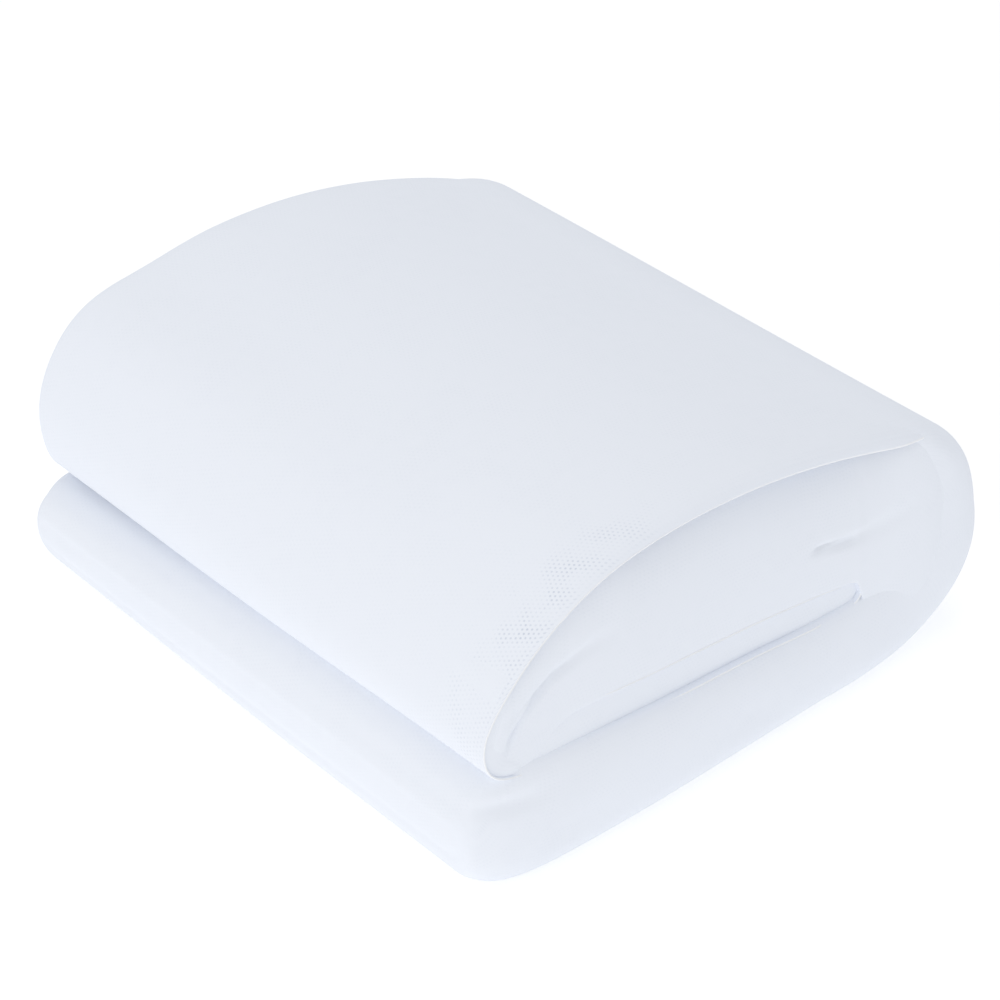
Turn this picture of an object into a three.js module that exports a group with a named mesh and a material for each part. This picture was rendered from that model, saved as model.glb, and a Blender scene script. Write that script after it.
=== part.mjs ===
// Folded and wound bundle of mosquito netting, lying on a flat surface.
// The cloth is one long band, many layers thick. Seen from its near end, the band runs to the
// right as the lower pad, turns up and back over the top as the cover, curls under at the left,
// runs to the right and back as a flat tongue, and ends in a soft inner pad under the cover.
// X is across the bundle, Y runs along its folded edges, Z is up, in millimetres.

import * as THREE from 'three';

// Driving dimensions
const ROLL_LENGTH = 300;       // between the two planes that the cover's edges nearly reach
const END_ROUNDNESS = 2.3;     // 2 is an ellipse, more is squarer
const MID_SPREAD = 1.6;        // how far the soft sides swell out half way along
const PRESSED_FLAT = 0.15;     // depth of the underside that its own weight presses flat
const STEPS_PER_STATION = 3;   // samples along the band from one station to the next
const STEPS_ROUND_EDGE = 3;    // samples from the rim of an end to one side of the band
const STEPS_ALONG = 6;         // samples along the roll between its two ends

const NETTING_COLOUR = 0xe4e8f4;
const NETTING_ROUGHNESS = 0.85;

// Each fold is a stretch of the band. Its stations follow the band's middle line at the near end.
// Common to a fold: how deep its near and far ends lie (minus stands out), how far its end is
// rounded towards the outer and the inner side, and where the rim lies between the two sides,
// from 0 in the middle to 1 on the outer side.
// x, z: middle of the band; half: half its thickness; farX, farZ, farHalf: what these change by
// at the far end; deeper, farDeeper: extra depth of the two ends; swell: share of MID_SPREAD.
const FOLDS = [
  {
    // Lower pad, from its soft folded edge at the left
    near: -8, far: -6, outerRound: 12, innerRound: 9, rim: 0,
    stations: [
      { x: -11.5, z: 28, half: 5, farX: 0.5, farZ: -2, deeper: 20, farDeeper: 4, swell: 0.6 },
      { x: -10, z: 28, half: 13, farX: 0.5, farZ: -2, farHalf: -1.5, deeper: 14, farDeeper: 2, swell: 1 },
      { x: -5, z: 27.8, half: 20.5, farX: 1, farZ: -2, farHalf: -3.2, deeper: 10, farDeeper: 2, swell: 1 },
      { x: 8, z: 27.6, half: 26, farZ: -2.6, farHalf: -4.6, deeper: 5, swell: 0.5 },
      { x: 32, z: 27.1, half: 27.1, farZ: -4.4, farHalf: -4.4 },
      { x: 80, z: 25.6, half: 25.6, farZ: -2.2, farHalf: -2.2, deeper: -1.5 },
      { x: 130, z: 23.8, half: 23.8, deeper: -1 },
      { x: 180, z: 21.2, half: 21.2 },
      { x: 209, z: 21.3, half: 21.3 },
    ],
  },
  {
    // Right turn
    near: -6, far: -4, outerRound: 13, innerRound: 7, rim: 0,
    stations: [
      { x: 236, z: 27.5, half: 27.3 },
      { x: 254, z: 42.2, half: 28.4 },
      { x: 257, z: 62, half: 25, deeper: 1, farDeeper: 2 },
      { x: 253.8, z: 81.2, half: 21, farZ: 2.3, deeper: 2, farDeeper: 6 },
      { x: 240.5, z: 96.4, half: 18.5, farZ: 2.6, deeper: 3, farDeeper: 9, rim: 0.45 },
    ],
  },
  {
    // Cover
    near: 0, far: -4, outerRound: 7, innerRound: 10, rim: 0.72,
    stations: [
      { x: 216, z: 105.8, half: 16, farZ: 2.7, farDeeper: 6, rim: 0.65 },
      { x: 180, z: 113, half: 17, farZ: 2.7, farDeeper: 1 },
      { x: 140, z: 118.6, half: 18.5, farZ: 2 },
      { x: 100, z: 120.4, half: 18.5, farZ: 1 },
      { x: 66, z: 115, half: 18, farZ: 1.7, innerRound: 8 },
      { x: 38.5, z: 104, half: 15.5, farX: -3, farZ: 7.5, innerRound: 5 },
      { x: 18.5, z: 90.8, half: 13.2, farZ: 7.5, innerRound: 4, rim: 0.65 },
      { x: 6, z: 77.2, half: 10.2, farX: 3, farZ: 2, innerRound: 3.5, rim: 0.45, swell: 0.8 },
    ],
  },
  {
    // Curl under the cover's left edge
    near: 0, far: -2, outerRound: 4, innerRound: 3.5, rim: 0.2,
    stations: [
      { x: 4.5, z: 66.6, half: 6.9, farX: 4, farZ: -7.6, swell: 0.8 },
      { x: 13.5, z: 60.4, half: 4.6, farX: 4, farZ: -8.2 },
    ],
  },
  {
    // Tongue, out to its loop at the right and back
    near: -1, far: 0, outerRound: 2, innerRound: 3, rim: 0,
    stations: [
      { x: 30, z: 58.3, half: 3.2, farZ: -7.6 },
      { x: 80, z: 55.6, half: 3.4, farZ: -4 },
      { x: 140, z: 52.1, half: 3.3 },
      { x: 180, z: 47.4, half: 3 },
      { x: 195, z: 45.9, half: 2.5 },
      { x: 203.6, z: 47.2, half: 2.2 },
      { x: 204.8, z: 51.4, half: 2 },
      { x: 198, z: 54.2, half: 2.3 },
      { x: 180, z: 54.9, half: 3 },
      { x: 140, z: 60.1, half: 3.3 },
      { x: 90, z: 64.1, half: 3.6, farZ: -4 },
      { x: 56, z: 67.7, half: 3.4, farZ: -7.6 },
    ],
  },
  {
    // Inner pad, from its fold at the left to the soft end of the cloth
    near: 6, far: 6, outerRound: 8, innerRound: 6, rim: 0,
    stations: [
      { x: 42, z: 70.3, half: 3, farZ: -7.6 },
      { x: 37.5, z: 75.1, half: 2.8, farZ: -6.6 },
      { x: 43, z: 80.1, half: 3.8, farX: -2, farZ: -4, farHalf: 1 },
      { x: 62, z: 83.6, half: 9.2, farX: -3, farHalf: 2 },
      { x: 100, z: 83.9, half: 15.2 },
      { x: 140, z: 81.6, half: 17 },
      { x: 180, z: 77.3, half: 17.8 },
      { x: 207, z: 75.2, half: 15, deeper: 1, farDeeper: 1 },
      { x: 222, z: 74.2, half: 10, deeper: 2, farDeeper: 2 },
      { x: 228.5, z: 73.7, half: 5, deeper: 4, farDeeper: 4 },
    ],
  },
];

// One full row of values for a station, with its fold's values where it names none of its own.
function fullStation(fold, station) {
  return {
    farX: 0, farZ: 0, farHalf: 0, swell: 0,
    outerRound: fold.outerRound,
    innerRound: fold.innerRound,
    rim: fold.rim,
    ...station,
    near: fold.near + (station.deeper ?? 0),
    far: fold.far + (station.farDeeper ?? 0),
  };
}

// A smooth curve through four values in a row, read between the second and the third.
function smoothBetween(before, from, to, after, t) {
  return 0.5 * (2 * from + (to - before) * t
    + (2 * before - 5 * from + 4 * to - after) * t ** 2
    + (3 * from - before - 3 * to + after) * t ** 3);
}

// The stations and the samples between them, each column on its own smooth curve.
function sampleBand(stations) {
  const columns = ['x', 'z', 'half', 'farX', 'farZ', 'farHalf', 'near', 'far',
    'outerRound', 'innerRound', 'rim', 'swell'];
  const last = stations.length - 1;
  const read = (index, column) => {
    if (index < 0) return 2 * stations[0][column] - stations[1][column];
    if (index > last) return 2 * stations[last][column] - stations[last - 1][column];
    return stations[index][column];
  };
  const samples = [];
  for (let step = 0; step <= last * STEPS_PER_STATION; step += 1) {
    const index = Math.min(Math.floor(step / STEPS_PER_STATION), last - 1);
    const t = step / STEPS_PER_STATION - index;
    const sample = {};
    for (const column of columns) {
      sample[column] = smoothBetween(read(index - 1, column), read(index, column),
        read(index + 1, column), read(index + 2, column), t);
    }
    samples.push(sample);
  }
  return samples;
}

// The middle line at one sample, where the roll has gone the share s of the way to its far end.
function middleAt(sample, s) {
  return { x: sample.x + sample.farX * s, z: sample.z + sample.farZ * s };
}

// The point across the band at share q of the half thickness, 1 on the outer side, -1 inside.
function pointOnBand(samples, index, q, y) {
  const share = THREE.MathUtils.smoothstep(y, 0, ROLL_LENGTH);
  const here = samples[index];
  const middle = middleAt(here, share);
  const before = middleAt(samples[Math.max(index - 1, 0)], share);
  const after = middleAt(samples[Math.min(index + 1, samples.length - 1)], share);
  const direction = new THREE.Vector2(after.x - before.x, after.z - before.z).normalize();
  const swell = MID_SPREAD * here.swell * Math.sin(Math.PI * share);
  const reach = (here.half + here.farHalf * share) * q + swell * Math.max(q, 0);
  return new THREE.Vector3(
    middle.x + direction.y * reach,
    y,
    Math.max(middle.z - direction.x * reach, PRESSED_FLAT),
  );
}

// How far the end has gone back at share p of the way from its rim to a side, from 0 to 1.
function endDepth(p) {
  return 1 - Math.max(0, 1 - p ** END_ROUNDNESS) ** (1 / END_ROUNDNESS);
}

// The closed ring of points round the band at one sample: down over the near end from the outer
// side to the inner one, along the inner side, over the far end and back along the outer side.
function ringAt(samples, index) {
  const { near, far, outerRound, innerRound, rim } = samples[index];
  const overEnd = [];
  for (let step = STEPS_ROUND_EDGE; step > 0; step -= 1) {
    const p = Math.sin((Math.PI / 2) * step / STEPS_ROUND_EDGE);
    overEnd.push({ q: rim + (1 - rim) * p, depth: outerRound * endDepth(p) });
  }
  for (let step = 0; step <= STEPS_ROUND_EDGE; step += 1) {
    const p = Math.sin((Math.PI / 2) * step / STEPS_ROUND_EDGE);
    overEnd.push({ q: rim - (1 + rim) * p, depth: innerRound * endDepth(p) });
  }
  const farY = ROLL_LENGTH - far;
  const places = overEnd.map(({ q, depth }) => ({ q, y: near + depth }));
  for (let step = 1; step < STEPS_ALONG; step += 1) {
    const y = THREE.MathUtils.lerp(near + innerRound, farY - innerRound, step / STEPS_ALONG);
    places.push({ q: -1, y });
  }
  places.push(...overEnd.reverse().map(({ q, depth }) => ({ q, y: farY - depth })));
  for (let step = 1; step < STEPS_ALONG; step += 1) {
    const y = THREE.MathUtils.lerp(farY - outerRound, near + outerRound, step / STEPS_ALONG);
    places.push({ q: 1, y });
  }
  return places.map(({ q, y }) => pointOnBand(samples, index, q, y));
}

// Triangles between each ring and the next, and a ladder of triangles over each end of the band.
function ringFaces(rings, ringSize) {
  const faces = [];
  for (let ring = 0; ring < rings - 1; ring += 1) {
    for (let k = 0; k < ringSize; k += 1) {
      const a = ring * ringSize + k;
      const b = ring * ringSize + (k + 1) % ringSize;
      faces.push(a, b + ringSize, b, a, a + ringSize, b + ringSize);
    }
  }
  const middle = STEPS_ROUND_EDGE;
  const ladder = (base, turned) => {
    const place = (offset) => base + (middle + offset + ringSize) % ringSize;
    const add = (a, b, c) => faces.push(...(turned ? [a, b, c] : [a, c, b]));
    for (let rung = 0; rung < ringSize / 2; rung += 1) {
      const corners = [place(-rung), place(rung), place(-rung - 1), place(rung + 1)];
      if (rung > 0) add(corners[0], corners[1], corners[2]);
      if (rung + 1 < ringSize / 2) add(corners[2], corners[1], corners[3]);
    }
  };
  ladder(0, true);
  ladder((rings - 1) * ringSize, false);
  return faces;
}

// The whole band as one closed body, moved so that it stands on the middle of its box's base.
function bandGeometry() {
  const stations = FOLDS.flatMap((fold) => fold.stations.map((row) => fullStation(fold, row)));
  const samples = sampleBand(stations);
  const rings = samples.map((_, index) => ringAt(samples, index));
  const geometry = new THREE.BufferGeometry().setFromPoints(rings.flat());
  geometry.setIndex(ringFaces(rings.length, rings[0].length));
  geometry.computeBoundingBox();
  const box = geometry.boundingBox;
  geometry.translate(-(box.min.x + box.max.x) / 2, -(box.min.y + box.max.y) / 2, -box.min.z);
  geometry.computeVertexNormals();
  return geometry;
}

const nettingMaterial = new THREE.MeshStandardMaterial({
  color: NETTING_COLOUR,
  roughness: NETTING_ROUGHNESS,
  metalness: 0,
});

const netting = new THREE.Mesh(bandGeometry(), nettingMaterial);
netting.name = 'netting_roll';

const bundle = new THREE.Group();
bundle.add(netting);

export default bundle;
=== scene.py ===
# %% [markdown]
# # A folded and wound bundle of mosquito netting
#
# Several metres of fine white netting are folded into one long band of layers, and the band is
# wound flat into a soft bundle. Seen from its near end it runs to the right as a lower pad,
# turns up and back over the top as a cover, curls under at the left, goes out and back as a
# flat tongue, and fills the middle with soft inner folds.
#
# The packed solid gives the size and the place of every fold. This lesson puts the cloth on
# it: the thick wound layers, the single ply whose thin edge catches the light, and the mesh.

import bpy
import numpy as np
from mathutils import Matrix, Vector


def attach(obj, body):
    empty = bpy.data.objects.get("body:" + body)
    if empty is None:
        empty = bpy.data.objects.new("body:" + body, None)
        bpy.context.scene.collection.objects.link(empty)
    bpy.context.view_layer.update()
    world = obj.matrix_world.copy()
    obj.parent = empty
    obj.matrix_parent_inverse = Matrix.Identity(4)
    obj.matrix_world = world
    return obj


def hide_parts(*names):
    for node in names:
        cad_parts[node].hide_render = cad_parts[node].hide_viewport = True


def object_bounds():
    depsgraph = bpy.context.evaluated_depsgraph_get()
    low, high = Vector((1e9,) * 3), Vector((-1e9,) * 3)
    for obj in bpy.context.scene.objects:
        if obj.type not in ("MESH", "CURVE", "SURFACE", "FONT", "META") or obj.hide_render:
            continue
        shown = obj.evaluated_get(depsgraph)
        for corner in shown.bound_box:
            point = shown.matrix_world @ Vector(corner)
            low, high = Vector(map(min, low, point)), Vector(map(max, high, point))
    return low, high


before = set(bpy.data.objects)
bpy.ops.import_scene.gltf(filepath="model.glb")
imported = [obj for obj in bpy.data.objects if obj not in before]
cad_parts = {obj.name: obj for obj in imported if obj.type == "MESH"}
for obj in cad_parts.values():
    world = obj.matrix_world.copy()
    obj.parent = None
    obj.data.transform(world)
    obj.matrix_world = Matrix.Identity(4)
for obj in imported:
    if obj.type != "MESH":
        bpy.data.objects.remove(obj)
SOLID_BOX = [list(map(float, corner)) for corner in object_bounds()]
MM = 0.001
print("solid box, metres:", SOLID_BOX)

# %% [markdown]
# ## The band's middle line: pad and right turn
#
# The wound form is a band whose middle line is drawn in the end view, in millimetres, by a few
# stations for each fold. Each station says where the middle is, how thick the band is there,
# and what changes by the far end. A smooth curve through the stations gives the rest, column
# by column. A drawn section of this kind is easier to correct against a photograph than a
# simulation, because one row is one place on a fold.
#
# The words in the tables, where a fold's own values hold for all its stations that give none:
#
# - x, z: middle of the band; half: half its thickness; farX, farZ, farHalf: change by the far end
# - near, far: how deep the two ends lie; deeper, farDeeper: what one station adds to them
# - outer, inner: depth of the ends' rounding on each side; rim: where the end stands out most,
#   from 1 on the outer side to -1 on the inner side
# - swell: extra thickness on the outer side half way along; rise: extra thickness on the inner side
# - ply: 1 where a single outer ply covers the layers; plyRim: how far it reaches over the end;
#   lift: its height over the layers
# - back: how much deeper the layers under the ply end; layerRim, layerOuter: their own rim and
#   outer rounding; trim: thickness on the inner side that the inner folds replace

# %% Stations of the pad and the right turn
ROLL_LENGTH = 300.0
PAD = dict(near=-8, far=-6, outer=12, inner=9, rim=0, stations=[
    dict(x=-11.5, z=28, half=5, farX=0.5, farZ=-2, deeper=17, farDeeper=11, swell=0.6),
    dict(x=-10, z=28, half=13, farX=0.5, farZ=-2, farHalf=-1.5, deeper=11, farDeeper=6,
         rise=0.8, swell=1),
    dict(x=-5, z=27.8, half=20.5, farX=1, farZ=-2, farHalf=-3.2, deeper=7.5, farDeeper=3.5,
         rise=3, swell=1),
    dict(x=8, z=27.6, half=26, farZ=-2.6, farHalf=-4.6, deeper=3.2, rise=6.5, swell=0.5),
    dict(x=32, z=27.1, half=27.1, farZ=-4.4, farHalf=-4.4, rise=3.5),
    dict(x=80, z=25.6, half=25.6, farZ=-2.2, farHalf=-2.2, deeper=-1.5, rise=1.4),
    dict(x=130, z=23.8, half=23.8, deeper=-1, rise=1.4),
    dict(x=180, z=21.2, half=21.2, rise=3.2),
    dict(x=209, z=21.3, half=21.3, rise=4.5),
])
RIGHT_TURN = dict(near=-6, far=-4, outer=13, inner=4, rim=0, lift=-2.5, stations=[
    dict(x=236, z=27.5, half=27.3, inner=7, trim=2, rise=2),
    dict(x=254, z=42.2, half=28.4, trim=9, plyRim=1, ply=1),
    dict(x=257, z=62, half=25, deeper=1, farDeeper=2, trim=9, plyRim=1, ply=1),
    dict(x=253.8, z=81.2, half=21, farZ=2.3, deeper=2, farDeeper=6, trim=7, plyRim=1, ply=1),
    dict(x=240.5, z=96.4, half=18.5, farZ=2.6, deeper=3, farDeeper=9, rim=0.3, inner=5,
         plyRim=0.9, ply=1, lift=-2, back=1, trim=8),
])
print("stations of pad and turn:", len(PAD["stations"]), len(RIGHT_TURN["stations"]))

# %% [markdown]
# ## Cover and curl
#
# The cover is the top of the bundle. Its layers end well behind its outer ply, which bends a
# little over the end, so that a dark hollow shows under a thin light edge. At the left the band
# narrows to a tight curl. The far end isn't quite like the near one, so the stations also say
# what changes along the roll.

# %% Stations of the cover and the curl
COVER = dict(near=0, far=-4, outer=7, inner=5, rim=0.72, ply=1, stations=[
    dict(x=216, z=105.8, half=16, farZ=2.7, farDeeper=6, rim=0.65, lift=-0.3, back=7, trim=10),
    dict(x=180, z=113, half=17, farZ=2.7, farDeeper=1, back=10, trim=20),
    dict(x=140, z=118.6, half=18.5, farZ=2, back=11, trim=24),
    dict(x=100, z=120.4, half=18.5, farZ=1, back=16, trim=16),
    dict(x=66, z=115, half=18, farZ=1.7, plyRim=0.82, back=16, trim=6),
    dict(x=38.5, z=104, half=15.5, farX=-3, farZ=7.5, deeper=-1, outer=3.5,
         plyRim=0.94, lift=0.2, back=13, trim=5),
    dict(x=18.5, z=90.8, half=13.2, farZ=7.5, deeper=-1.8, outer=2.5, rim=0.65,
         plyRim=0.97, lift=0.35, back=2.5, layerOuter=1.5, trim=4),
    dict(x=6, z=77.2, half=10.2, farX=3, farZ=2, deeper=-2, outer=2, rim=0.45, swell=0.8,
         plyRim=1, lift=0.35, back=2, layerOuter=1, trim=3),
])
CURL = dict(near=0, far=-2, inner=3.5, rim=0.3, plyRim=1, ply=1, back=2, layerOuter=1, stations=[
    dict(x=4.5, z=66.6, half=6.9, farX=4, farZ=-7.6, deeper=-2.2, outer=1.5, swell=0.8, lift=0.35),
    dict(x=13.5, z=60.4, half=4.6, farX=4, farZ=-8.2, deeper=-2.4, outer=1, lift=0.3),
])
print("stations of cover and curl:", len(COVER["stations"]), len(CURL["stations"]))

# %% [markdown]
# ## Tongue
#
# The tongue is the same band pressed almost flat. It goes out to a small loop at the right and
# comes back above itself, so its stations stand close together only round the loop.

# %% Stations of the tongue
TONGUE = dict(near=-2.5, far=-2, outer=1, inner=3, rim=0, plyRim=1, ply=1, back=7, layerOuter=2, stations=[
    dict(x=30, z=57.4, half=3.4, farZ=-7.6, deeper=1, back=4),
    dict(x=80, z=55, half=3.8, farZ=-4, deeper=-0.7),
    dict(x=140, z=51.6, half=3.8, deeper=-0.9),
    dict(x=176, z=47.6, half=3.4, deeper=-0.7),
    dict(x=190, z=46, half=2.4),
    dict(x=199, z=45.6, half=1.9),
    dict(x=203.2, z=47.4, half=1.8, deeper=-0.5),
    dict(x=204.7, z=50.9, half=1.8, deeper=-0.5),
    dict(x=203, z=54.5, half=1.8, deeper=-0.5),
    dict(x=198.6, z=56.3, half=1.9),
    dict(x=190, z=56.8, half=2.4),
    dict(x=176, z=57.8, half=3.4),
    dict(x=140, z=61.4, half=3.8),
    dict(x=90, z=65.2, half=4.1, farZ=-4),
    dict(x=56, z=69, half=3.6, farZ=-7.6, deeper=0.5),
    dict(x=42, z=71.2, half=3.2, farZ=-7.6, deeper=4, back=3),
    dict(x=32, z=72, half=2.6, farZ=-7.6, deeper=8, back=2),
])
print("stations of the tongue:", len(TONGUE["stations"]))

# %% [markdown]
# ## A smooth curve through the stations
#
# Every column of the table, not only the place but also the thickness and the depth of the
# ends, follows the same kind of curve, which passes through each station and leaves it in the
# direction of its neighbours. Straight lines between the stations would show as flat facets.

# %% Smooth columns
COLUMNS = ("x", "z", "half", "farX", "farZ", "farHalf", "near", "far", "outer", "inner", "rim",
           "swell", "rise", "plyRim", "lift", "ply", "back", "layerRim", "layerOuter", "trim")
WHERE_NOT_GIVEN = dict(farX=0, farZ=0, farHalf=0, swell=0, rise=0, ply=0, lift=0.1, back=0, trim=0)


def station_table(folds):
    """One row of numbers for each station, its fold's values standing in for those it leaves out."""
    rows = []
    for fold in folds:
        for station in fold["stations"]:
            row = {**WHERE_NOT_GIVEN, **fold, **station}
            row["near"] = fold["near"] + station.get("deeper", 0)
            row["far"] = fold["far"] + station.get("farDeeper", 0)
            for own, shared in (("plyRim", "rim"), ("layerRim", "rim"), ("layerOuter", "outer")):
                row.setdefault(own, row[shared])
            rows.append([row[name] for name in COLUMNS])
    return np.array(rows, float)


def smooth_samples(table, per_station):
    """Each column as a smooth curve: for a share t of the way from the start station to the
    stop station, half of (2 start + (stop - before) t + (2 before - 5 start + 4 stop - after) t^2
    + (3 start - before - 3 stop + after) t^3)."""
    ends = 2 * table[[0, -1]] - table[[1, -2]]
    padded = np.vstack([ends[:1], table, ends[1:]])
    step = np.arange((len(table) - 1) * per_station + 1)
    index = np.minimum(step // per_station, len(table) - 2)
    t = (step / per_station - index)[:, None]
    before, start, stop, after = (padded[index + k] for k in range(4))
    values = 0.5 * (2 * start + (stop - before) * t
                    + (2 * before - 5 * start + 4 * stop - after) * t ** 2
                    + (3 * start - before - 3 * stop + after) * t ** 3)
    return dict(zip(COLUMNS, values.T))


wound = smooth_samples(station_table([PAD, RIGHT_TURN, COVER, CURL, TONGUE]), per_station=14)
print("samples along the wound layers:", len(wound["x"]))

# %% [markdown]
# ## Points on the band
#
# A point on the band has a place along the middle line, a place across the band and a place
# along the roll. The cloth is pressed flat where it lies on the table, bulges a little half way
# along, and slowly takes the far end's form. A formula for all of this at once is surer than
# bending a finished mesh, because every piece of cloth made with it fits the others.

# %% Points across the band
MID_SPREAD = 1.6
PRESSED_FLAT = 0.15


def columns(band, names):
    """The named values of a band, each standing as one column of a grid."""
    return [band[name][:, None] for name in names.split()]


def band_points(band, across, y, lift=0.0, upright=False):
    """Middle point plus normal times (half thickness times across, plus lift), in millimetres.
    across is 1 on the outer side and -1 on the inner one. The normal is square to the middle
    line, or straight down where upright is set. Half way along, swell times MID_SPREAD is added
    on the outer side; rise times across squared is added on the inner side, less by the far end."""
    x, z, half, far_x, far_z, far_half = columns(band, "x z half farX farZ farHalf")
    swell, rise = columns(band, "swell rise")
    share = np.clip(y / ROLL_LENGTH, 0, 1)
    share = share * share * (3 - 2 * share)
    run_x = np.gradient(x, axis=0) + np.gradient(far_x, axis=0) * share
    run_z = np.gradient(z, axis=0) + np.gradient(far_z, axis=0) * share
    if upright:
        run_x, run_z = np.ones_like(run_x), np.zeros_like(run_z)
    length = np.hypot(run_x, run_z)
    hump = MID_SPREAD * swell * np.sin(np.pi * share)
    reach = (half + far_half * share) * across + hump * np.maximum(across, 0) + lift
    reach = reach - rise * (1 - share ** 2) * np.minimum(across, 0) ** 2
    place_x = x + far_x * share + run_z / length * reach
    place_z = z + far_z * share - run_x / length * reach
    return np.stack([place_x, y, np.maximum(place_z, PRESSED_FLAT)], axis=-1)


half_way = band_points(wound, across=1, y=np.full((len(wound["x"]), 1), ROLL_LENGTH / 2))
print("soft edge half way along, mm:", np.round(half_way[0, 0], 1))

# %% [markdown]
# ## The ring round the band
#
# A ring goes round the band along the outer side, over the near end, back along the inner side
# and over the far end. The ends are rounded like a fold of many layers: the depth grows from
# the rim towards each side as a rounded quarter curve, and the columns of the grid stand
# closest where that curve is steepest.

# %% Rounded ends
ROUNDNESS = 2.3


def end_depth(p):
    """1 minus (1 - p to the ROUNDNESS) to one over the ROUNDNESS: 0 at the rim, 1 at the side."""
    return 1 - np.maximum(0, 1 - p ** ROUNDNESS) ** (1 / ROUNDNESS)


def ring_of(band, round_steps, along_steps):
    """across and y for every point of the ring, from the far outer corner round to it again."""
    near, far, outer, inner, rim = columns(band, "near far outer inner rim")
    p = np.sin(np.linspace(0, np.pi / 2, round_steps + 1))[None, :]
    to_outer = rim + (1 - rim) * p
    to_inner = rim - (1 + rim) * p
    across_end = np.hstack([to_outer[:, :0:-1], to_inner])
    depth_end = np.hstack([(outer * end_depth(p))[:, :0:-1], inner * end_depth(p)])
    near_y = near + depth_end
    far_y = ROLL_LENGTH - far - depth_end
    along = np.linspace(0, 1, along_steps + 1)[None, 1:-1]
    outer_y = far_y[:, :1] + (near_y[:, :1] - far_y[:, :1]) * along
    inner_y = near_y[:, -1:] + (far_y[:, -1:] - near_y[:, -1:]) * along
    ones = np.ones_like(outer_y)
    across = np.hstack([ones, across_end, -ones, across_end[:, ::-1]])
    y = np.hstack([outer_y, near_y, inner_y, far_y[:, ::-1]])
    return across, y


print("rounded end, quarter steps:", np.round(end_depth(np.array([0, 0.5, 0.8, 1.0])), 2))

# %% [markdown]
# ## The cloth's own coordinates
#
# The faces join neighbouring points of the grid. The cloth's own coordinates are the distances
# walked over the surface, so that the mesh of the netting later keeps its size on every fold.
# On the long sides the second one is simply the place along the roll, which keeps the mesh
# straight where the band grows thick.

# %% Faces and cloth coordinates
FACE_CORNERS = [(0, 0), (1, 0), (1, 1), (0, 1)]


def walked(points, axis):
    """Distance walked along one axis of the grid, starting at 0."""
    steps = np.linalg.norm(np.diff(points, axis=axis), axis=-1)
    start = np.zeros_like(np.take(steps, [0], axis=axis))
    return np.concatenate([start, np.cumsum(steps, axis=axis)], axis=axis)


def at_corners(grid):
    """The grid's value at the four corners of each face, one row for each face."""
    rows, across = grid.shape[0] - 1, grid.shape[1] - 1
    return np.stack([grid[r:rows + r, c:across + c].reshape(-1) for r, c in FACE_CORNERS], axis=1)


def side_faces(ids, points):
    """Faces round the grid, and their cloth coordinates in millimetres."""
    ids, points = (np.concatenate([grid, grid[:, :1]], axis=1) for grid in (ids, points))
    u, v = walked(points, 0), points[:, :1, 1] - walked(points, 1)
    steps = np.abs(np.diff(points, axis=1)).mean(axis=0)
    on_side = np.tile(steps[:, 1] > np.hypot(steps[:, 0], steps[:, 2]), len(points) - 1)[:, None]
    along = np.where(on_side, at_corners(points[..., 1]), at_corners(v))
    return at_corners(ids), np.stack([at_corners(u), along], axis=-1)


def cap_faces(ids, points):
    """Strips of faces that close the first and the last row, with z and y as cloth coordinates."""
    last = ids.shape[1] - 1
    k = np.arange(ids.shape[1] // 2 - 1)
    first_cap, last_cap = (np.stack([row[k], row[k + 1], row[last - 1 - k], row[last - k]], axis=1)
                           for row in (ids[0], ids[-1]))
    caps = np.concatenate([first_cap, last_cap[:, ::-1]])
    return caps, points.reshape(-1, 3)[caps][..., [2, 1]]


print("corners of a face, row and column:", FACE_CORNERS)

# %% [markdown]
# ## From a grid of points to a mesh
#
# The stations were drawn from the corner of the bundle, while the packed part stands on the
# middle of its base. One offset joins the two: the corner of the solid in the drawing, less
# that of the packed solid. Whole arrays then go into the mesh at once.

# %% Make a piece from a grid
SOLID_CORNER_IN_DRAWING = np.array([-11.593, -9.5, PRESSED_FLAT])
ORIGIN = SOLID_CORNER_IN_DRAWING - np.array(SOLID_BOX[0]) / MM


def grid_piece(name, points, marks=None):
    """A closed mesh, in metres: each row of points is one ring, joined to the next row's, and the
    first and last rings are filled. marks holds one number for each point, by name."""
    ids = np.arange(points.shape[0] * points.shape[1]).reshape(points.shape[:2])
    parts = zip(side_faces(ids, points), cap_faces(ids, points))
    faces, cloth = (np.concatenate(part) for part in parts)
    placed = points.reshape(-1, 3) - ORIGIN
    mesh = bpy.data.meshes.new(name)
    mesh.vertices.add(len(placed))
    mesh.vertices.foreach_set("co", (placed * MM).ravel())
    mesh.loops.add(faces.size)
    mesh.loops.foreach_set("vertex_index", faces.ravel())
    mesh.polygons.add(len(faces))
    mesh.polygons.foreach_set("loop_start", np.arange(0, faces.size, 4))
    mesh.polygons.foreach_set("use_smooth", np.ones(len(faces), bool))
    layer = mesh.uv_layers.new(name="cloth")
    layer.data.foreach_set("uv", (cloth.reshape(-1, 2) * MM).ravel())
    for mark, values in (marks or {}).items():
        attribute = mesh.attributes.new(mark, "FLOAT", "POINT")
        attribute.data.foreach_set("value", np.ascontiguousarray(values, dtype=np.float32).ravel())
    mesh.update(calc_edges=True)
    mesh.validate()
    piece = bpy.data.objects.new(name, mesh)
    bpy.context.scene.collection.objects.link(piece)
    print(name, "faces:", len(faces))
    print("low to high, mm:", np.round(placed.min(0), 1), np.round(placed.max(0), 1))
    return piece


print("middle of the base in the drawing, mm:", np.round(ORIGIN, 2))

# %% [markdown]
# ## Creases pressed in by hand
#
# Soft cloth keeps the marks of hands and of the layers below. Each crease here is a soft trough
# or ridge along a way drawn in the end view. A texture could show it too, but a real dent also
# changes the outline and the shadow.

# %% Press creases into the near end
PRESS_REACH = 25
PRESS_FADE = 10


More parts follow.
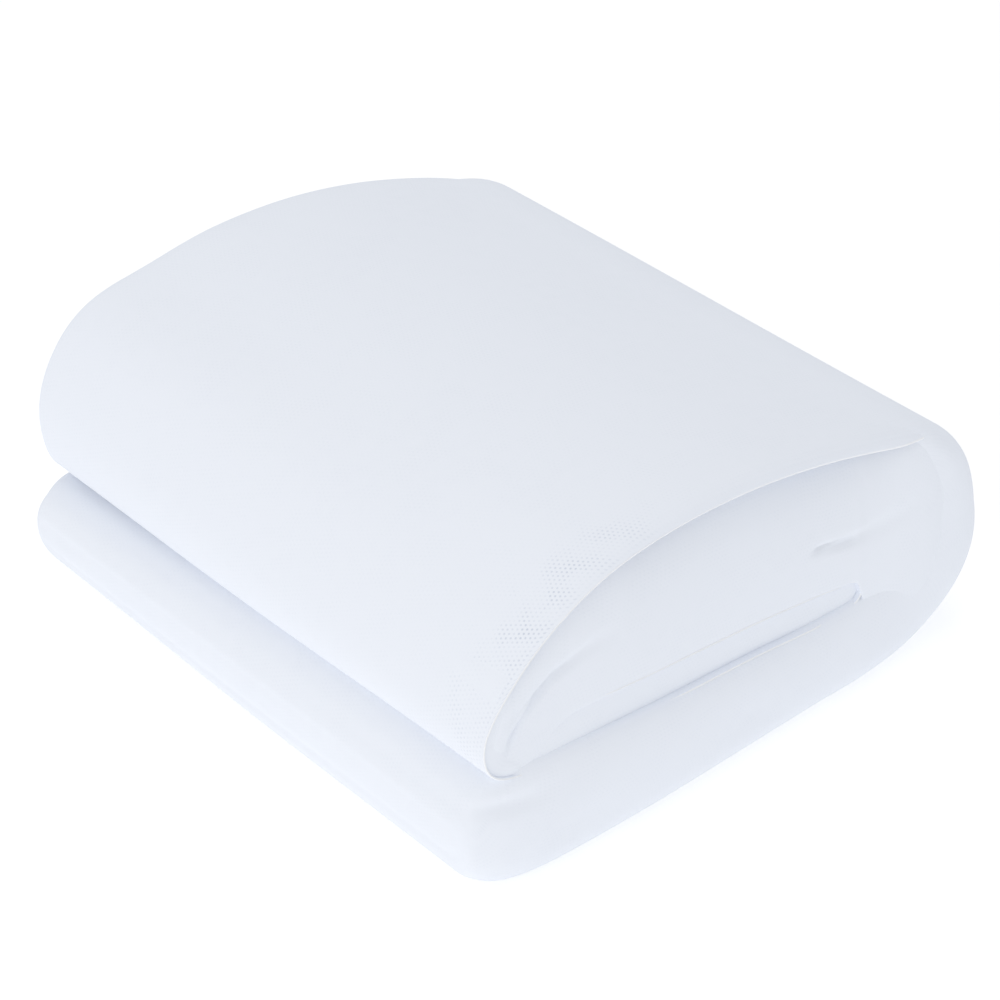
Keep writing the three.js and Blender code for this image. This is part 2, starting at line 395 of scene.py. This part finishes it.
def pressed(points, creases):
    """Points near the end moved along the roll by depth times e to the power of minus
    (distance over width) squared, at the nearest place on each crease's way; the larger of
    two neighbouring stretches counts. Below zero the depth makes a ridge. The effect fades
    over the last PRESS_FADE millimetres before PRESS_REACH."""
    x, y, z = np.moveaxis(points, -1, 0)
    moved = np.zeros_like(y)
    for way in creases.values():
        way = np.array(way, float)
        one_crease = np.zeros_like(y)
        for start, stop in zip(way[:-1], way[1:]):
            step = stop[:2] - start[:2]
            t = np.clip(((x - start[0]) * step[0] + (z - start[1]) * step[1]) / (step @ step), 0, 1)
            distance = np.hypot(x - start[0] - t * step[0], z - start[1] - t * step[1])
            depth, width = (start[k] + (stop[k] - start[k]) * t for k in (2, 3))
            stretch = depth * np.exp(-(distance / width) ** 2)
            one_crease = np.where(np.abs(stretch) > np.abs(one_crease), stretch, one_crease)
        moved += one_crease
    fade = np.clip((PRESS_REACH - y) / PRESS_FADE, 0, 1)
    return np.stack([x, y + moved * fade, z], axis=-1)


print("creases reach back to, mm:", PRESS_REACH)

# %% [markdown]
# ## The wound layers
#
# The layers are the solid's band, with its ends set back where a single ply reaches past them,
# and thinner on the inner side of the cover, where the inner folds take over. The pad's near
# end gets one crease at its soft edge, two broad dents and a slight swelling.

# %% Wound layers
# Each row: x, z, depth, width
PAD_CREASES = {
    "from the soft edge towards the curl": [
        (-10.5, 45, 1, 3.5), (3.8, 45.4, 2, 3.5), (14.2, 44.6, 1.6, 4), (36, 47, 0, 6)],
    "broad dent near the soft edge": [(18, 22, 0, 9), (42, 19, 1.3, 10), (70, 25, 0, 10)],
    "broad dent half way": [(108, 20, 0, 8), (134, 25, 1, 9), (160, 19, 0, 9)],
    "swelling before the right turn": [(184, 13, 0, 8), (205, 18, -0.6, 9), (226, 27, 0, 9)],
}


def layers_under_ply(band):
    """The band with half the trim taken off half its thickness and its middle moved outwards by
    as much, its ends deeper by back, and the layers' own rim and outer rounding."""
    run_x, run_z = np.gradient(band["x"]), np.gradient(band["z"])
    length = np.hypot(run_x, run_z)
    return {**band,
            "x": band["x"] + run_z / length * band["trim"] / 2,
            "z": band["z"] - run_x / length * band["trim"] / 2,
            "half": band["half"] - band["trim"] / 2,
            "near": band["near"] + band["back"],
            "far": band["far"] + band["back"],
            "rim": band["layerRim"],
            "outer": band["layerOuter"]}


layers = layers_under_ply(wound)
across, y = ring_of(layers, round_steps=24, along_steps=30)
wound_layers = grid_piece("wound_layers", pressed(band_points(layers, across, y), PAD_CREASES))

# %% [markdown]
# ## The inner folds
#
# Below the cover lie the last folds of the band. At the near end they show as one soft face:
# deep and dark just under the cover's edge, and bulging out towards the tongue. So they are a
# second, shorter band, whose end is rounded far back on its upper side. Here top and bottom are
# its two sides at the near end, the outer side is the lower one, and the other words are as
# above.

# %% Stations of the inner folds
INNER_STATIONS = [
    dict(x=-3.8, top=79, bottom=67.5, farX=4, farZ=-3, deeper=2.6, inner=2),
    dict(x=0, top=88, bottom=61.6, farX=3, farZ=-3, deeper=1.8, inner=2.5),
    dict(x=7, top=98.6, bottom=57, farX=2, farZ=-3, deeper=1, inner=3),
    dict(x=18, top=108, bottom=57, farZ=-4, farHalf=2, deeper=0.6, inner=4),
    dict(x=30, top=117, bottom=67, farZ=-5, farHalf=3, deeper=0.4, inner=6),
    dict(x=40, top=122, bottom=71.3, farZ=-5, farHalf=3.5, deeper=0.1, inner=8),
    dict(x=50, top=126, bottom=71.4, farZ=-4.5, farHalf=3.5, deeper=-0.3, inner=10),
    dict(x=66, top=131, bottom=70.2, farZ=-3.5, farHalf=3.5, deeper=-0.6, inner=14),
    dict(x=84, top=133, bottom=68.8, farZ=-2.5, farHalf=2.5, deeper=-0.7, inner=19),
    dict(x=105, top=136, bottom=67.5, farZ=-1.3, farHalf=1.3, deeper=-0.6),
    dict(x=140, top=134.2, bottom=64.6, deeper=-0.6),
    dict(x=178, top=127, bottom=60.4, deeper=-0.8),
    dict(x=196, top=124, bottom=58, deeper=-1.2, inner=21),
    dict(x=202.5, top=123, bottom=56.2, deeper=-1.5, inner=20),
    dict(x=208.4, top=121.6, bottom=43, deeper=-1.9, inner=16.5),
    dict(x=217, top=119, bottom=37, deeper=-2.9, inner=16),
    dict(x=232, top=114, bottom=33, deeper=-4.6, farDeeper=1, inner=11),
    dict(x=246, top=109, bottom=40, deeper=-4.8, farDeeper=4, inner=9),
    dict(x=257, top=99, bottom=54, deeper=-2.6, farDeeper=7, inner=7),
]
print("stations of the inner folds:", len(INNER_STATIONS))

# %% [markdown]
# ## Creases of the inner folds
#
# Three forms give the soft face its life: a raised band of layers that follows the cover's edge,
# the line behind it, and a short sharp crease that runs out softly towards the right turn. The
# grid is finest on this face, so that a crease two millimetres wide still has a round bottom.

# %% Inner folds
# Each row: x, z, depth, width
INNER_CREASES = {
    "band of layers under the cover's edge": [
        (1.5, 77, -1.2, 5), (7, 89, -1.8, 5), (20, 100, -1.8, 6), (36, 107, -1.2, 7), (58, 111, 0, 8)],
    "line behind that band": [
        (8, 70, 0.8, 1.6), (9.8, 75, 2.2, 1.7), (15.4, 84, 2.6, 1.8), (30.7, 94.4, 2.2, 2.2),
        (49.5, 99, 1.3, 3.2), (68, 101, 0, 5)],
    "crease towards the right turn": [
        (172, 85, 0, 1.6), (179, 84, 2.2, 1.6), (196, 80.4, 2.4, 2), (204, 79.6, 1.2, 3.2),
        (222, 80, 0.9, 4), (243, 84.5, 0, 5)],
}


def inner_table(stations, outer, inner, rim):
    """Rows as for the wound layers, where the middle is half way between top and bottom."""
    placed = [dict(z=(row["top"] + row["bottom"]) / 2, half=(row["top"] - row["bottom"]) / 2, **row)
              for row in stations]
    return station_table([dict(near=-1, far=-1, outer=outer, inner=inner, rim=rim, stations=placed)])


folds = smooth_samples(inner_table(INNER_STATIONS, outer=0.3, inner=22, rim=0.9), per_station=15)
across, y = ring_of(folds, round_steps=48, along_steps=24)
fold_points = pressed(band_points(folds, across, y, upright=True), INNER_CREASES)
inner_folds = grid_piece("inner_folds", fold_points)

# %% [markdown]
# ## The tongue's core
#
# Between the two runs of the tongue's ply lie the layers that turned with them. From the end
# they show as one narrow strip, a little darker than the ply because it lies just behind its
# edge. It is made like the inner folds, with hardly any rounding.

# %% Core of the tongue
CORE_STATIONS = [
    dict(x=11, top=70, bottom=58, farZ=-8, deeper=1.2),
    dict(x=26, top=71, bottom=54.6, farZ=-7.8, deeper=0.6),
    dict(x=42, top=73, bottom=53.5, farZ=-7, deeper=0.7),
    dict(x=60, top=72, bottom=52.4, farZ=-6, deeper=0.9),
    dict(x=90, top=69.1, bottom=50.8, farZ=-4, deeper=1.2),
    dict(x=140, top=65, bottom=48, deeper=1.3),
    dict(x=176, top=61, bottom=44.4, deeper=1.4),
    dict(x=190, top=59, bottom=43.8, deeper=1.4),
    dict(x=198, top=57.9, bottom=43.9, deeper=1),
    dict(x=203, top=56.2, bottom=45.6, deeper=0.8),
    dict(x=205.6, top=53, bottom=49, deeper=0.8),
]
core = smooth_samples(inner_table(CORE_STATIONS, outer=0.8, inner=0.8, rim=0), per_station=10)
across, y = ring_of(core, round_steps=8, along_steps=30)
tongue_core = grid_piece("tongue_core", band_points(core, across, y, upright=True))

# %% [markdown]
# ## The outer ply
#
# The outermost layer of netting is a single sheet. It starts inside the right turn, lies over
# the cover, bends a little over its end, and goes on round the tongue. Its cut edge stands out
# past the layers below it, so it shows as a thin light line with a shadow under it. A sheet
# with a real thickness gives that line, and the material adds painted light along the cut edge.

# %% Skins of the outer ply
PLY = 0.9
EDGE_STRIP = 1.2
PLY_END_STEPS, PLY_ALONG_STEPS = 9, 50


def unit(vectors):
    """Each vector divided by its length."""
    return vectors / np.linalg.norm(vectors, axis=-1, keepdims=True)


def ply_skins(band):
    """Lower and upper skin of a sheet on the band's outer side, from the far end to the near one.
    It reaches over both ends as far as plyRim, where its edge stands out, and lift is its height
    over the layers. The end's columns also step back by EDGE_STRIP in all, which keeps them
    apart where the ply doesn't bend over the end."""
    near, far, outer, rim, ply_rim, lift = columns(band, "near far outer rim plyRim lift")
    share = np.linspace(0, 1, PLY_END_STEPS + 1)[None, :]
    reach = np.minimum(ply_rim, 1)
    over = reach + (1 - reach) * share
    depth = outer * end_depth(np.clip((over - rim) / (1 - rim), 0, 1)) + EDGE_STRIP * share
    near_y = near + depth
    far_y = ROLL_LENGTH - far - depth
    along = np.linspace(0, 1, PLY_ALONG_STEPS + 1)[None, 1:-1]
    middle_y = far_y[:, -1:] + (near_y[:, -1:] - far_y[:, -1:]) * along
    y = np.hstack([far_y, middle_y, near_y[:, ::-1]])
    across = np.hstack([over, np.ones_like(middle_y), over[:, ::-1]])
    low = band_points(band, across, y, lift)
    normal = unit(np.cross(np.gradient(low, axis=1), np.gradient(low, axis=0)))
    return low, low + normal * PLY


covered = wound["ply"] > 0.5
low, high = ply_skins({name: value[covered] for name, value in wound.items()})
print("run of the outer ply, mm:", np.round(walked(high, 0)[-1].mean()))

# %% [markdown]
# ## Edge and clear patches of the ply
#
# A rounded lip joins the two skins at both cut edges. Two marks go with the points and are read
# by the material: painted light at the cut edge, a lighter colour for the light that comes
# through the single ply there, and clear where the netting is drawn tight over the cover's edge and its
# holes show.

# %% Outer ply
CLEAR_ABOVE = 68
CLEAR_PATCHES = [
    dict(x=20, wide=14, y=9, deep=9, share=1.0),
    dict(x=48, wide=18, y=12, deep=10, share=0.9),
    dict(x=75, wide=14, y=10, deep=8, share=0.5),
    dict(x=2, wide=8, y=12, deep=12, share=0.5),
]
middle = (low + high) / 2
outward = unit(np.gradient(middle, axis=1))
near_lip = middle[:, -1:] + outward[:, -1:] * PLY / 2
far_lip = middle[:, :1] - outward[:, :1] * PLY / 2
ring = np.concatenate([high, near_lip, low[:, ::-1], far_lip], axis=1)
# Painted light: the lip's columns get a lighter colour, for light that comes through the cut edge.
painted_edge_light = np.zeros(ring.shape[:2])
near_edge = high.shape[1] - 1
painted_edge_light[:, [0, near_edge, near_edge + 1, near_edge + 2, -2, -1]] = 1
clear = sum(patch["share"] * np.exp(-((ring[..., 0] - patch["x"]) / patch["wide"]) ** 2
                                    - ((ring[..., 1] - patch["y"]) / patch["deep"]) ** 2)
            for patch in CLEAR_PATCHES) * (ring[..., 2] > CLEAR_ABOVE)
outer_ply = grid_piece("outer_ply", ring, marks={"painted_edge_light": painted_edge_light, "clear": np.minimum(clear, 1)})

# %% [markdown]
# ## Short names for shader maths
#
# A pattern is easier to read as a formula than as a tree of nodes. Value wraps one number
# socket, so that plus, minus and times on it add their Math nodes. Nodes adds any other node
# from its type, its settings, and the values or links of its sockets.

# %% Shader maths
class Value:
    """One number or colour socket; on a number, arithmetic works."""

    def __init__(self, nodes, socket):
        self.nodes, self.socket = nodes, socket

    def math(self, operation, *others, swapped=False, **settings):
        terms = [self, *others]
        terms = terms[::-1] if swapped else terms
        return self.nodes.add("ShaderNodeMath", {"operation": operation, **settings},
                              dict(enumerate(terms)))

    def __add__(self, other):
        return self.math("ADD", other)

    def __sub__(self, other):
        return self.math("SUBTRACT", other)

    def __mul__(self, other):
        return self.math("MULTIPLY", other)

    def __rsub__(self, other):
        return self.math("SUBTRACT", other, swapped=True)

    __radd__, __rmul__ = __add__, __mul__


class Nodes:
    """The nodes of one material."""

    def __init__(self, material):
        material.use_nodes = True
        self.tree = material.node_tree
        self.shader = self.tree.nodes["Principled BSDF"]

    def fill(self, node, sockets):
        """Each socket gets a link from a Value, or a plain value."""
        for key, value in sockets.items():
            if isinstance(value, Value):
                self.tree.links.new(value.socket, node.inputs[key])
            else:
                node.inputs[key].default_value = value

    def add(self, kind, settings=None, sockets=None, output=0):
        """A new node of a kind, its settings made before its sockets are filled."""
        node = self.tree.nodes.new(kind)
        for name, value in (settings or {}).items():
            setattr(node, name, value)
        self.fill(node, sockets or {})
        return Value(self, node.outputs[output])


print("maths wrapped:", [name for name in vars(Value) if name.startswith("__r")])

# %% [markdown]
# ## The mesh of the netting
#
# Fine mosquito netting is a knitted mesh of small six-sided holes, here about 2.1 mm from one to
# the next. Three waves at sixty degrees to each other add up to such a pattern, with a peak in
# the middle of each hole. It lies on the cloth's own coordinates, so it follows every fold.

# %% Mesh pattern
HOLE_PITCH = 2.1 * MM
HALF_ROOT_THREE = 0.866
HOLE_RIM, HOLE_MIDDLE = 0.2, 2.6
netting = bpy.data.materials.new("white netting")
n = Nodes(netting)
cloth = n.add("ShaderNodeUVMap", {"uv_map": "cloth"})


def wave(along_u, along_v):
    """Cosine of 4 pi over (root 3 times the pitch), times (u along_u + v along_v)."""
    scale = 4 * np.pi / (np.sqrt(3) * HOLE_PITCH)
    run = n.add("ShaderNodeVectorMath", {"operation": "DOT_PRODUCT"},
                {0: cloth, 1: (along_u * scale, along_v * scale, 0)}, output="Value")
    return run.math("COSINE")


def between(value, low, high):
    """0 below low, 1 above high, smooth in between."""
    return n.add("ShaderNodeMapRange", {"interpolation_type": "SMOOTHSTEP"},
                 {"Value": value, "From Min": low, "From Max": high})


def noise(size, detail):
    """Soft noise about 0.5, with spots of a size in metres."""
    place = n.add("ShaderNodeTexCoord", output="Object")
    return n.add("ShaderNodeTexNoise", {}, {"Vector": place, "Scale": 1 / size, "Detail": detail})


waves = wave(0, 1) + wave(HALF_ROOT_THREE, -0.5) + wave(-HALF_ROOT_THREE, -0.5)
holes = between(waves, HOLE_RIM, HOLE_MIDDLE)
print("pitch of the holes, mm:", round(HOLE_PITCH / MM, 2))

# %% [markdown]
# ## How clearly the mesh shows
#
# Many layers lie on each other, so the holes drown in white and the bundle looks like soft,
# slightly bluish felt. Only where the ply is drawn over the cover's edge do they show as small
# dark dots, and even there in patches. Two soft noises, one broad and one fine, keep the white
# from being one flat tone.

# %% Netting colour
# How clearly the holes show: everywhere, more in patches, and at least where the ply is clear
SHOWS_EVERYWHERE, SHOWS_IN_PATCHES, CLEAR_BASE = 0.04, 0.07, 0.25
PATCH_SIZE, PATCH_FROM, PATCH_TO = 0.012, 0.42, 0.62
BROAD_TONE, FINE_TONE = dict(size=0.05, share=0.05), dict(size=0.006, share=0.03)
HOLE_TONE = 0.5
CLOTH_WHITE, HOLE_SHADE = (0.895, 0.925, 0.985, 1), (0.5, 0.56, 0.68, 1)
# Painted light: the lighter colour of the ply's cut edge, where light comes through.
PAINTED_EDGE_LIGHT_COLOUR = (0.97, 0.98, 1, 1)


def mixed(share, first, second):
    """Colour from first to second by a share; 6, 7 and 2 are a Mix node's colour sockets."""
    return n.add("ShaderNodeMix", {"data_type": "RGBA"}, {"Factor": share, 6: first, 7: second},
                 output=2)


drawn_tight = n.add("ShaderNodeAttribute", {"attribute_name": "clear"}, output="Fac")
# Painted light at the ply's cut edge, read from the mark on its points.
painted_edge_light_share = n.add("ShaderNodeAttribute", {"attribute_name": "painted_edge_light"}, output="Fac")
patches = between(noise(PATCH_SIZE, detail=2), PATCH_FROM, PATCH_TO)
in_clear = CLEAR_BASE + (1 - CLEAR_BASE) * patches
shows = SHOWS_EVERYWHERE + SHOWS_IN_PATCHES * patches + drawn_tight * in_clear
tone = ((noise(BROAD_TONE["size"], detail=2) - 0.5) * BROAD_TONE["share"]
        + (noise(FINE_TONE["size"], detail=1) - 0.5) * FINE_TONE["share"])
dark = (holes * shows * HOLE_TONE).math("ADD", tone, use_clamp=True)
colour = mixed(painted_edge_light_share, mixed(dark, CLOTH_WHITE, HOLE_SHADE), PAINTED_EDGE_LIGHT_COLOUR)
print("cloth and hole colours:", CLOTH_WHITE[:3], HOLE_SHADE[:3])

# %% [markdown]
# ## Surface of the netting
#
# Polyester yarn this fine has no gloss to be seen from a step away, so the surface is rough. The
# holes are pressed in a little with a bump, because real holes by the ten thousand would make
# the piece far too heavy.

# %% Netting surface
HOLE_DIP = 0.15 * MM
dips = n.add("ShaderNodeBump", {}, {"Height": holes * shows, "Distance": HOLE_DIP, "Strength": 0.5},
             output="Normal")
n.fill(n.shader, {"Base Color": colour, "Normal": dips, "Roughness": 0.9, "Specular IOR Level": 0.2})
print("nodes of the netting:", len(n.tree.nodes))

# %% [markdown]
# ## Join the pieces to the part
#
# Each piece rides on the part's only body and stands in for the packed solid.

for piece in (wound_layers, inner_folds, tongue_core, outer_ply):
    piece.data.materials.append(netting)
    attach(piece, "root")
    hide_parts("netting_roll")
print("pieces with netting:", netting.users)

# %% [markdown]
# ## Floor
#
# The photograph is bright: the bundle lies on a pure white ground with hardly a shadow. A white
# floor that glows a little gives that ground and sends light up into the folds. Light from
# lamps alone would leave a grey ground or a bundle that is too bright.

# %% Floor
FLOOR_HALF = 6
FLOOR_GLOW = 0.3
floor_corners = [(x * FLOOR_HALF, y * FLOOR_HALF, 0) for x, y in ((-1, -1), (1, -1), (1, 1), (-1, 1))]
floor_mesh = bpy.data.meshes.new("floor")
floor_mesh.from_pydata(floor_corners, [], [(0, 1, 2, 3)])
floor = bpy.data.objects.new("floor", floor_mesh)
bpy.context.scene.collection.objects.link(floor)
paper = bpy.data.materials.new("white paper")
paper_nodes = Nodes(paper)
paper_nodes.fill(paper_nodes.shader, {"Base Color": (0.9, 0.9, 0.9, 1), "Roughness": 1.0,
                                      "Emission Color": (1, 1, 1, 1), "Emission Strength": FLOOR_GLOW})
floor.data.materials.append(paper)
print("floor half width, metres:", FLOOR_HALF)

# %% [markdown]
# ## Light
#
# A pale, slightly blue surrounding light fills every fold. Two large soft lamps do the rest: one
# above, and one at the left front, where the cover's slope is lightest. Small lamps would draw
# hard shadows that the photograph doesn't have.

# %% Light
WORLD_COLOUR, WORLD_STRENGTH = (0.95, 0.97, 1, 1), 0.67
SOFT_LIGHTS = [
    dict(name="left front", place=(-1.6, -0.5, 0.9), size=1.2, power=4.4, colour=(1, 0.97, 0.93)),
    dict(name="above", place=(0, 0.2, 2.0), size=1.5, power=7.2, colour=(1, 0.97, 0.93)),
]
world = bpy.data.worlds.new("studio")
world.use_nodes = True
background = world.node_tree.nodes["Background"]
background.inputs["Color"].default_value = WORLD_COLOUR
background.inputs["Strength"].default_value = WORLD_STRENGTH
bpy.context.scene.world = world
for row in SOFT_LIGHTS:
    light = bpy.data.lights.new(row["name"], "AREA")
    light.size, light.energy, light.color = row["size"], row["power"], row["colour"]
    lamp = bpy.data.objects.new(row["name"], light)
    lamp.location = row["place"]
    lamp.rotation_euler = (-Vector(row["place"])).to_track_quat("-Z", "Y").to_euler()
    bpy.context.scene.collection.objects.link(lamp)
print("soft lights:", [row["name"] for row in SOFT_LIGHTS])

# %% [markdown]
# ## Camera
#
# The camera looks down on the near left corner. Its lens, distance and turn were found from the
# bundle's straight parallel edges, which run to one point in the photograph.

# %% Camera
CAMERA_AZIMUTH, CAMERA_ELEVATION, CAMERA_DISTANCE = np.radians(-41.5), np.radians(34.7), 1.356
CAMERA_TARGET = Vector((0.04463, 0.05138, 0.00385))
FOCAL_LENGTH_IN_PIXELS, IMAGE_WIDTH, SENSOR = 2884, 1000, 36
away = Vector((np.sin(CAMERA_AZIMUTH) * np.cos(CAMERA_ELEVATION),
               -np.cos(CAMERA_AZIMUTH) * np.cos(CAMERA_ELEVATION), np.sin(CAMERA_ELEVATION)))
camera_data = bpy.data.cameras.new("camera")
camera_data.sensor_width = SENSOR
camera_data.lens = FOCAL_LENGTH_IN_PIXELS / IMAGE_WIDTH * SENSOR
camera = bpy.data.objects.new("camera", camera_data)
camera.location = CAMERA_TARGET + away * CAMERA_DISTANCE
camera.rotation_euler = away.to_track_quat("Z", "Y").to_euler()
bpy.context.scene.collection.objects.link(camera)
bpy.context.scene.camera = camera
bpy.context.scene.view_settings.view_transform = "Standard"
print("camera at", tuple(round(c, 3) for c in camera.location))
print("lens, mm:", round(camera_data.lens, 1))

# %% [markdown]
